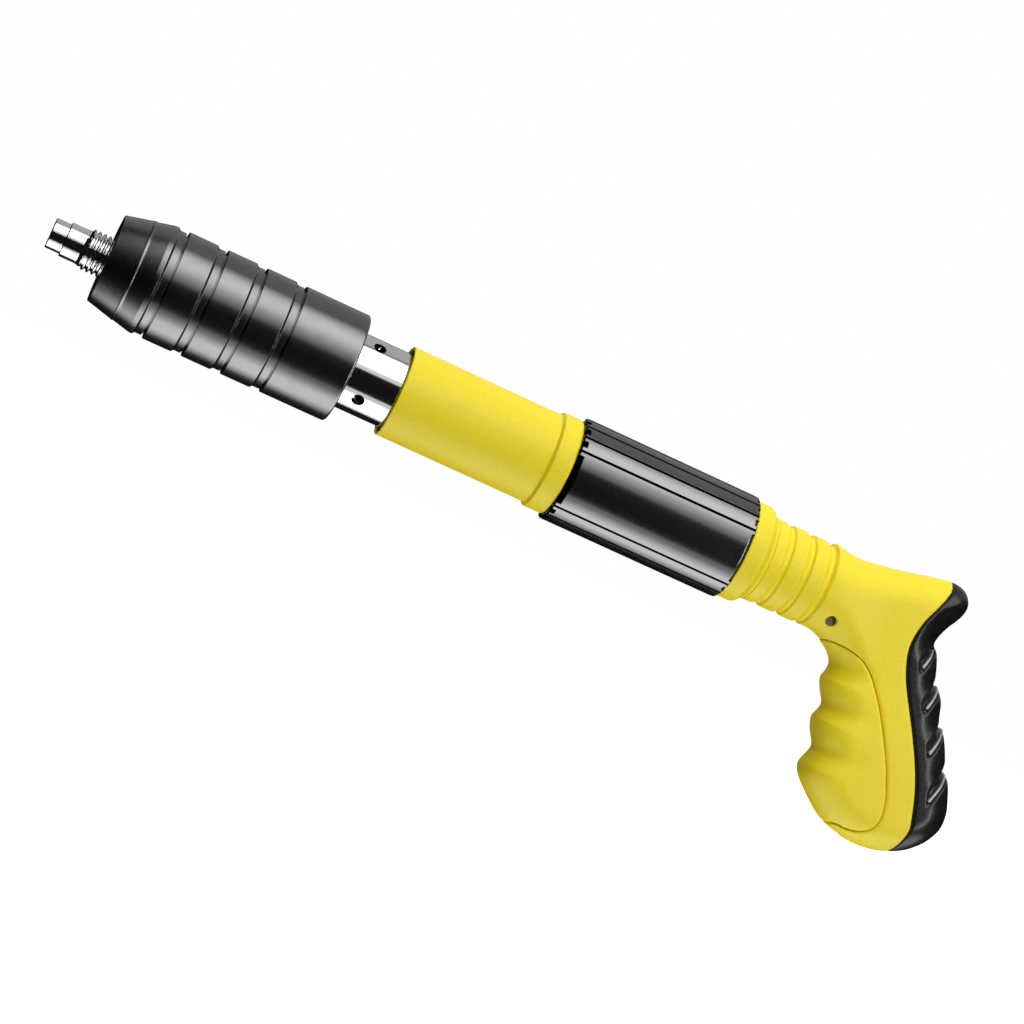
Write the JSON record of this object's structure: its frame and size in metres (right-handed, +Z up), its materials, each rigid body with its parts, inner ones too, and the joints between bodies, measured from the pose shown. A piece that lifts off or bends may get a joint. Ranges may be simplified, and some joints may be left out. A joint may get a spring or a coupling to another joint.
{
  "type": "powder-actuated nail gun",
  "caption": "Push-to-fire powder nail gun with threaded nose, grooved muffler, sliding chrome tube, fluted coupling and a pistol handle with a rubber strap.",
  "frame": {"origin": "centre of the muzzle face, on the bore axis", "axes": "+X along the bore from the muzzle to the handle, +Z up, the grip hanging down -Z; the tool's left side faces -Y"},
  "size_m": [0.4068, 0.043, 0.1086],
  "materials": {
    "chrome_steel": "polished",
    "black_anodised": "satin anodised",
    "black_coupling": "satin anodised, fluted",
    "tool_steel": "turned and ground",
    "pin_steel": "dark oiled",
    "screw_steel": "black oxide",
    "spring_steel": "drawn wire",
    "yellow_plastic": "fine moulded texture",
    "black_rubber": "fine serrated",
    "seal_rubber": "smooth",
    "bush_brass": "turned",
    "grey_insert": "satin"
  },
  "bodies": {
    "housing": {"front_sleeve": "yellow_plastic", "wiper_ring": "seal_rubber", "receiver_tube": "tool_steel", "guide_bush": "bush_brass", "stop_ring": "tool_steel", "buffer_ring": "seal_rubber", "coupling_grip": "black_coupling", "neck_collar": "yellow_plastic", "neck_sleeve": "yellow_plastic", "rear_plug": "tool_steel", "trip_sleeve": "tool_steel", "spring_guide": "tool_steel", "cross_pin": "pin_steel", "handle_screws": "screw_steel", "handle_left": "yellow_plastic", "handle_right": "yellow_plastic", "finger_pad": "yellow_plastic", "back_strap": "black_rubber", "strap_inserts_left": "grey_insert", "strap_inserts_right": "grey_insert", "main_spring": "spring_steel", "return_spring": "spring_steel"},
    "barrel": {"nose_pipe": "chrome_steel", "muffler_body": "black_anodised", "muffler_end_ring": "black_anodised", "muffler_baffles": "tool_steel", "muffler_o_ring": "seal_rubber", "barrel_core": "tool_steel", "front_tube": "chrome_steel", "breech_block": "tool_steel", "ball_cage": "tool_steel", "lock_ring_spring": "spring_steel", "firing_pin_spring": "spring_steel"},
    "striker": {"striker": "tool_steel"},
    "lock_ring": {"lock_ring": "tool_steel"},
    "firing_pin": {"firing_pin": "tool_steel"},
    "ball_1": {"sear_ball_1": "tool_steel"},
    "ball_2": {"sear_ball_2": "tool_steel"},
    "ball_3": {"sear_ball_3": "tool_steel"}
  },
  "joints": [
    {"name": "barrel_slide", "type": "slide", "parent": "housing", "child": "barrel", "axis": [1, 0, 0], "range_m": [0, 0.016], "stiffness_N_per_m": 1500, "deforming": ["return_spring", "main_spring"]},
    {"name": "striker_slide", "type": "slide", "parent": "barrel", "child": "striker", "axis": [1, 0, 0], "range_m": [-0.0077, 0], "stiffness_N_per_m": 800},
    {"name": "lock_ring_slide", "type": "slide", "parent": "barrel", "child": "lock_ring", "axis": [1, 0, 0], "range_m": [0, 0.0032], "stiffness_N_per_m": 500, "deforming": ["lock_ring_spring"]},
    {"name": "firing_pin_slide", "type": "slide", "parent": "barrel", "child": "firing_pin", "axis": [1, 0, 0], "range_m": [-0.002, 0], "stiffness_N_per_m": 300, "deforming": ["firing_pin_spring"]},
    {"name": "ball_1_slide", "type": "slide", "parent": "barrel", "child": "ball_1", "axis": [0, 0, -1], "range_m": [0, 0.0016]},
    {"name": "ball_2_slide", "type": "slide", "parent": "barrel", "child": "ball_2", "axis": [0, -0.866, 0.5], "range_m": [0, 0.0016]},
    {"name": "ball_3_slide", "type": "slide", "parent": "barrel", "child": "ball_3", "axis": [0, 0.866, 0.5], "range_m": [0, 0.0016]}
  ],
  "couplings": [
    {"joint": "ball_1_slide", "follows": "lock_ring_slide", "ratio": 0.5},
    {"joint": "ball_2_slide", "follows": "lock_ring_slide", "ratio": 0.5},
    {"joint": "ball_3_slide", "follows": "lock_ring_slide", "ratio": 0.5}
  ]
}
